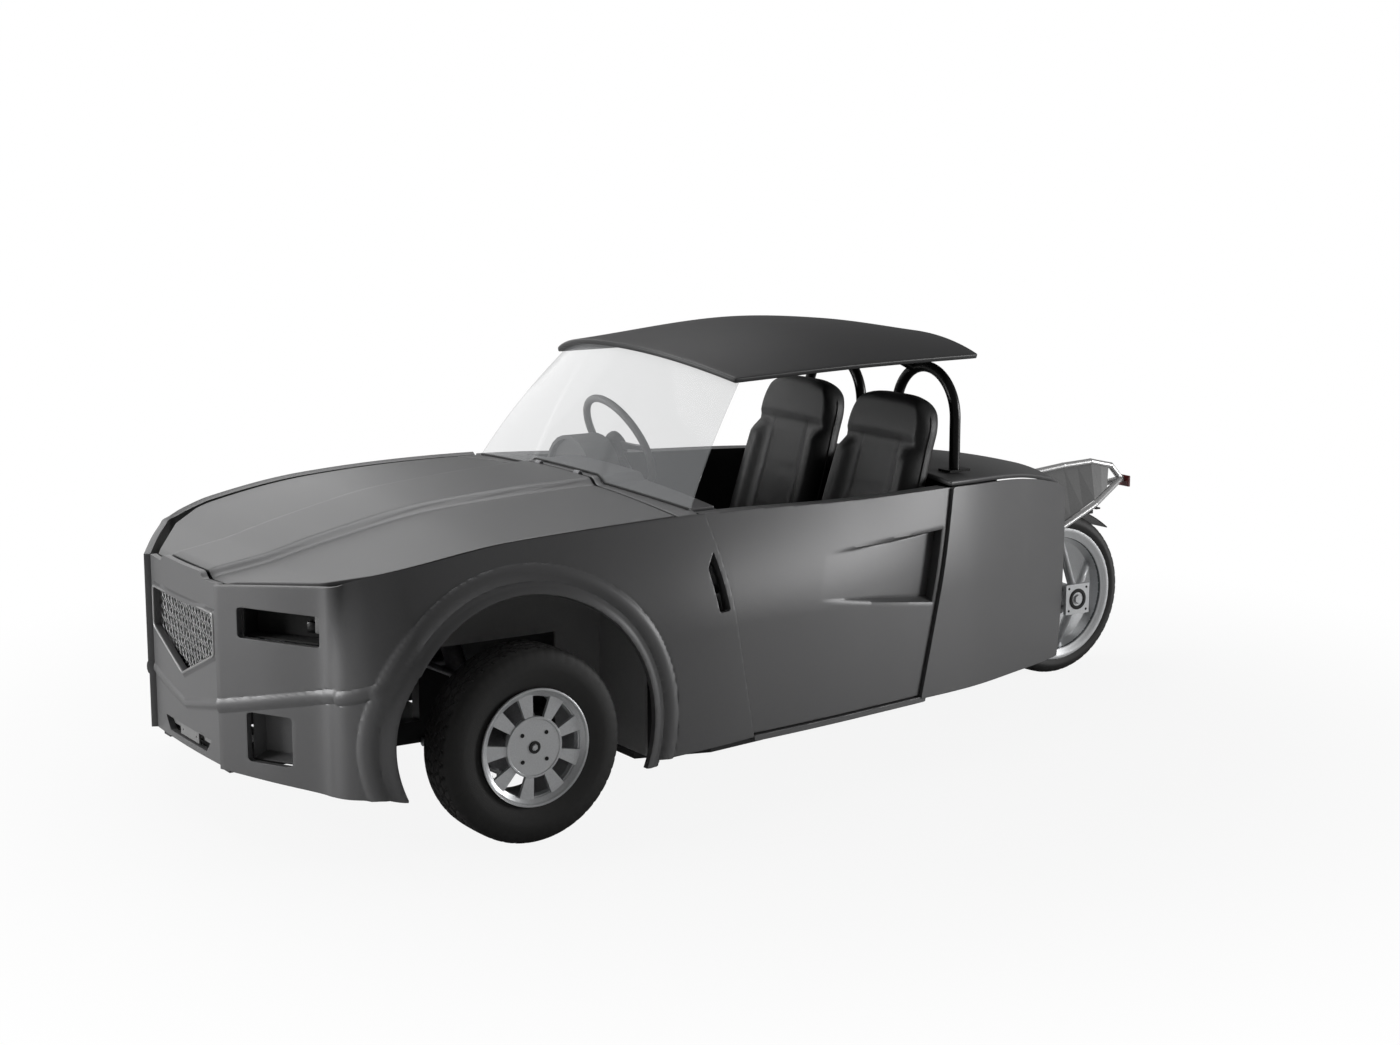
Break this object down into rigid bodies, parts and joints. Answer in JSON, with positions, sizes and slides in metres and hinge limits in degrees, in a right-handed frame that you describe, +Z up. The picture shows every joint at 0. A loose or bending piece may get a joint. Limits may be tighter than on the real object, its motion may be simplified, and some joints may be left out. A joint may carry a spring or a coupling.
{
  "type": "three-wheeled car",
  "caption": "Open-sided three-wheeled car with steered front wheels, a single driven rear wheel, hinged doors and bonnet, seats, roll hoops and a fixed roof.",
  "frame": {"origin": "on the ground, midway between the nose and the tail lamp, on the car's middle plane", "axes": "+X forward, +Y to the car's left, +Z up"},
  "size_m": [3.8574, 1.7726, 1.4209],
  "materials": {
    "body_paint": "satin",
    "roof_paint": "satin",
    "inner_black": "matte",
    "frame_black": "satin",
    "mesh_silver": "satin",
    "plate_blank": "satin",
    "screen_glass": "gloss",
    "dash_plastic": "matte",
    "well_grey": "matte",
    "wheel_rim_leather": "satin",
    "pedal_alloy": "satin",
    "seat_leather": "satin",
    "hoop_black": "gloss",
    "engine_metal": "rough",
    "suspension_steel": "satin",
    "tyre_black": "matte",
    "rim_alloy": "satin",
    "tail_silver": "satin",
    "cowl_grey": "satin",
    "lamp_red": "gloss"
  },
  "bodies": {
    "chassis": {"floor_pan": "frame_black", "left_rail": "frame_black", "right_rail": "frame_black", "front_cross_member": "frame_black", "axle_cross_member": "frame_black", "rear_cross_member": "frame_black", "rack_housing": "frame_black", "firewall": "frame_black", "nose_panel": "body_paint", "grille_mesh": "mesh_silver", "front_number_plate": "plate_blank", "left_fender": "body_paint", "right_fender": "body_paint", "left_lamp_pod": "inner_black", "right_lamp_pod": "inner_black", "left_wheel_well": "well_grey", "right_wheel_well": "well_grey", "left_rear_side": "body_paint", "right_rear_side": "body_paint", "rear_deck": "body_paint", "rear_bulkhead": "inner_black", "scuttle": "body_paint", "windscreen": "screen_glass", "dashboard": "dash_plastic", "steering_column": "dash_plastic", "centre_tunnel": "inner_black", "pedals": "pedal_alloy", "left_seat": "seat_leather", "right_seat": "seat_leather", "left_roll_hoop": "hoop_black", "right_roll_hoop": "hoop_black", "roof_panel": "roof_paint", "engine_block": "engine_metal", "left_suspension": "suspension_steel", "right_suspension": "suspension_steel", "rear_swingarm": "frame_black", "rear_mudguard": "hoop_black", "tail_frame": "tail_silver", "left_tail_cowl": "cowl_grey", "right_tail_cowl": "cowl_grey", "tail_lamp": "lamp_red"},
    "left_knuckle": {"left_knuckle": "suspension_steel"},
    "right_knuckle": {"right_knuckle": "suspension_steel"},
    "track_rod": {"track_rod": "suspension_steel"},
    "left_front_wheel": {"left_front_tyre": "tyre_black", "left_front_rim": "rim_alloy"},
    "right_front_wheel": {"right_front_tyre": "tyre_black", "right_front_rim": "rim_alloy"},
    "rear_wheel": {"rear_tyre": "tyre_black", "rear_rim": "rim_alloy"},
    "steering_wheel": {"steering_wheel": "wheel_rim_leather"},
    "left_door": {"left_door": "body_paint"},
    "right_door": {"right_door": "body_paint"},
    "bonnet": {"bonnet": "body_paint"}
  },
  "joints": [
    {"name": "left_steer", "type": "hinge", "parent": "chassis", "child": "left_knuckle", "pos_m": [1.194, 0.69, 0.296], "axis": [0, 0, 1], "range_deg": [-30, 30]},
    {"name": "right_steer", "type": "hinge", "parent": "chassis", "child": "right_knuckle", "pos_m": [1.194, -0.69, 0.296], "axis": [0, 0, 1], "range_deg": [-30.5, 30.5]},
    {"name": "rack_slide", "type": "slide", "parent": "chassis", "child": "track_rod", "axis": [0, 1, 0], "range_m": [-0.0585, 0.0585]},
    {"name": "steering_turn", "type": "hinge", "parent": "chassis", "child": "steering_wheel", "pos_m": [0.209, -0.27, 0.985], "axis": [0.891, 0, -0.454], "range_deg": [-365, 365]},
    {"name": "left_front_spin", "type": "hinge", "parent": "left_knuckle", "child": "left_front_wheel", "pos_m": [1.194, 0.8, 0.296], "axis": [0, 1, 0], "continuous": true},
    {"name": "right_front_spin", "type": "hinge", "parent": "right_knuckle", "child": "right_front_wheel", "pos_m": [1.194, -0.8, 0.296], "axis": [0, 1, 0], "continuous": true},
    {"name": "rear_spin", "type": "hinge", "parent": "chassis", "child": "rear_wheel", "pos_m": [-1.511, 0, 0.309], "axis": [0, 1, 0], "continuous": true},
    {"name": "left_door_swing", "type": "hinge", "parent": "chassis", "child": "left_door", "pos_m": [0.339, 0.80252, 0.165], "axis": [-0.1859, -0.0106, -0.9825], "range_deg": [0, 62]},
    {"name": "right_door_swing", "type": "hinge", "parent": "chassis", "child": "right_door", "pos_m": [0.339, -0.80252, 0.165], "axis": [0.1859, -0.0106, 0.9825], "range_deg": [0, 62]},
    {"name": "bonnet_lift", "type": "hinge", "parent": "chassis", "child": "bonnet", "pos_m": [0.609, 0, 0.96263], "axis": [0, -1, 0], "range_deg": [0, 52]}
  ],
  "couplings": [
    {"joint": "right_steer", "follows": "left_steer", "ratio": 1},
    {"joint": "rack_slide", "follows": "left_steer", "m_per_rad": -0.11},
    {"joint": "steering_turn", "follows": "left_steer", "ratio": -12}
  ]
}
